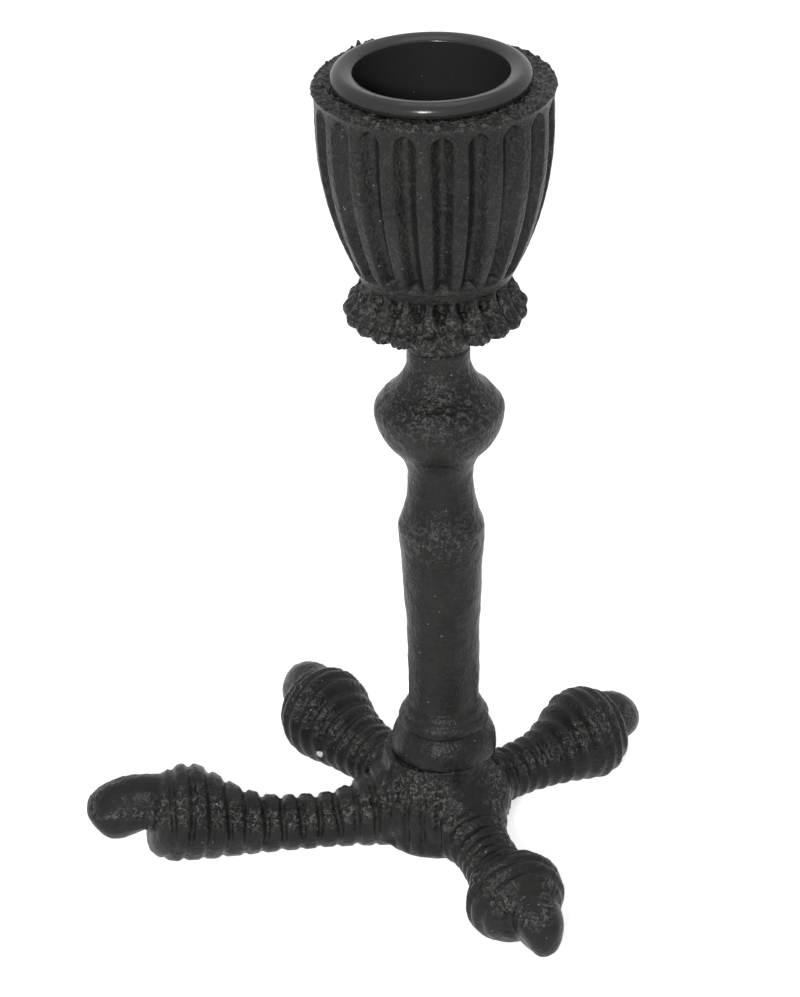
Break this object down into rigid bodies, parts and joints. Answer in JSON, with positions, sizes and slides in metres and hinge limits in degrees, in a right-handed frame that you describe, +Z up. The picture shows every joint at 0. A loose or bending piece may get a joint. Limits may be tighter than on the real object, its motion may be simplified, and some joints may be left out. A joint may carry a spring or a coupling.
{
  "type": "candle holder",
  "caption": "Black cast candlestick: bird's claw foot with ribbed toes, turned column and fluted cup with a drop-in metal candle liner.",
  "frame": {"origin": "on the stem's axis, in the ground-flat ring under the foot's hub, at the level of the table", "axes": "+Z up along the stem to the candle; the long toe points to -X, swung a little towards -Y"},
  "size_m": [0.089, 0.0735, 0.13],
  "materials": {
    "black_casting": "semi-gloss black paint over a rough sand casting",
    "liner_paint": "smooth gloss black",
    "steel_fixing": "zinc-plated, satin"
  },
  "bodies": {
    "holder": {"claw_foot": "black_casting", "column": "black_casting", "cup": "black_casting", "tie_rod": "steel_fixing", "top_washer": "steel_fixing", "top_nut": "steel_fixing", "bottom_washer": "steel_fixing", "lock_washer": "steel_fixing", "bottom_nut": "steel_fixing"},
    "liner": {"candle_liner": "liner_paint"}
  },
  "joints": [
    {"name": "liner_lift", "type": "slide", "parent": "holder", "child": "liner", "axis": [0, 0, 1], "range_m": [0, 0.03]}
  ]
}
